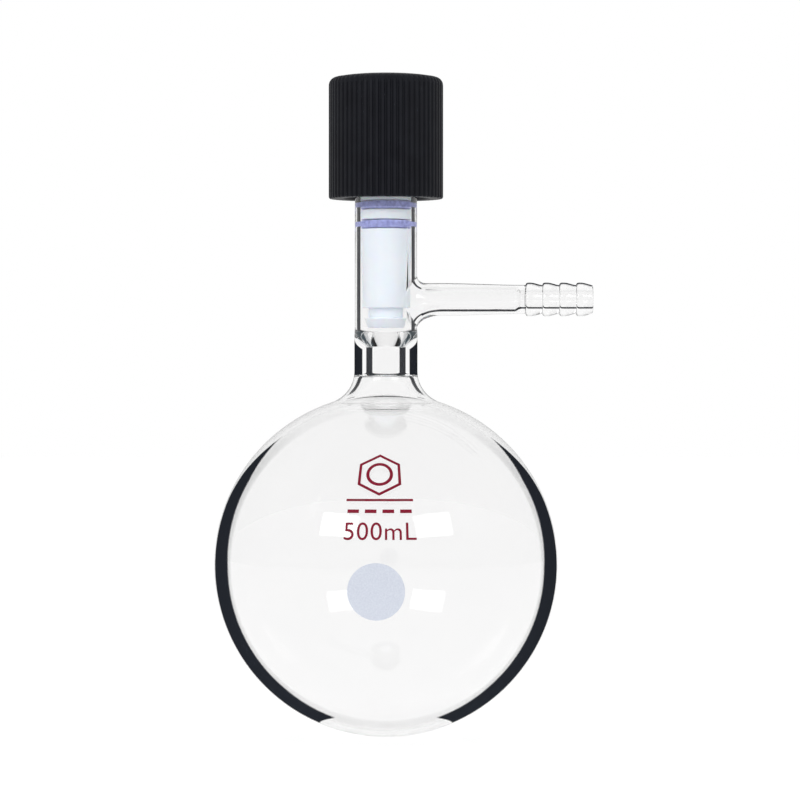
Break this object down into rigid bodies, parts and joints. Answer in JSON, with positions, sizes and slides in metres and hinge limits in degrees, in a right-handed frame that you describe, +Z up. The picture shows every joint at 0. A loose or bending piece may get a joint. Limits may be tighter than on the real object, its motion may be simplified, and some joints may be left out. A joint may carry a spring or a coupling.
{
  "type": "high vacuum storage bulb",
  "caption": "Round glass storage bulb with a screw-down plug valve on its neck, a barbed glass side arm and a ribbed black screw cap.",
  "frame": {"origin": "on the valve's axis, halfway up the thick glass valve seat, where a stand clamp grips the neck", "axes": "+Z up the valve's axis towards the cap, +X along the side arm towards the hose end, -Y towards the printed front"},
  "size_m": [0.1158, 0.105, 0.2026],
  "materials": {
    "clear_glass": "clear polished borosilicate glass",
    "white_ptfe": "smooth turned PTFE, slightly translucent",
    "lavender_seal": "smooth elastomer",
    "black_plastic": "moulded satin plastic",
    "bearing_plastic": "smooth",
    "spring_steel": "bright spring steel",
    "enamel_print": "fired maroon enamel",
    "marking_patch": "fine-grained frosted enamel for pencil notes"
  },
  "bodies": {
    "flask": {"round_bulb": "clear_glass", "bulb_neck": "clear_glass", "valve_seat": "clear_glass", "valve_barrel": "clear_glass", "threaded_head": "clear_glass", "side_arm": "clear_glass", "hose_barb": "clear_glass"},
    "plug": {"ptfe_plug": "white_ptfe", "lower_o_ring": "lavender_seal", "upper_o_ring": "lavender_seal"},
    "cap": {"screw_cap": "black_plastic", "thrust_washer": "bearing_plastic", "retaining_ring": "spring_steel"}
  },
  "joints": [
    {"name": "plug_travel", "type": "slide", "parent": "flask", "child": "plug", "axis": [0, 0, 1], "range_m": [-0.00395, 0.00438]},
    {"name": "cap_turn", "type": "hinge", "parent": "plug", "child": "cap", "pos_m": [0, 0, 0.0489], "axis": [0, 0, 1], "range_deg": [-405, 450]}
  ],
  "couplings": [
    {"joint": "plug_travel", "follows": "cap_turn", "m_per_rad": 0.00055704}
  ]
}
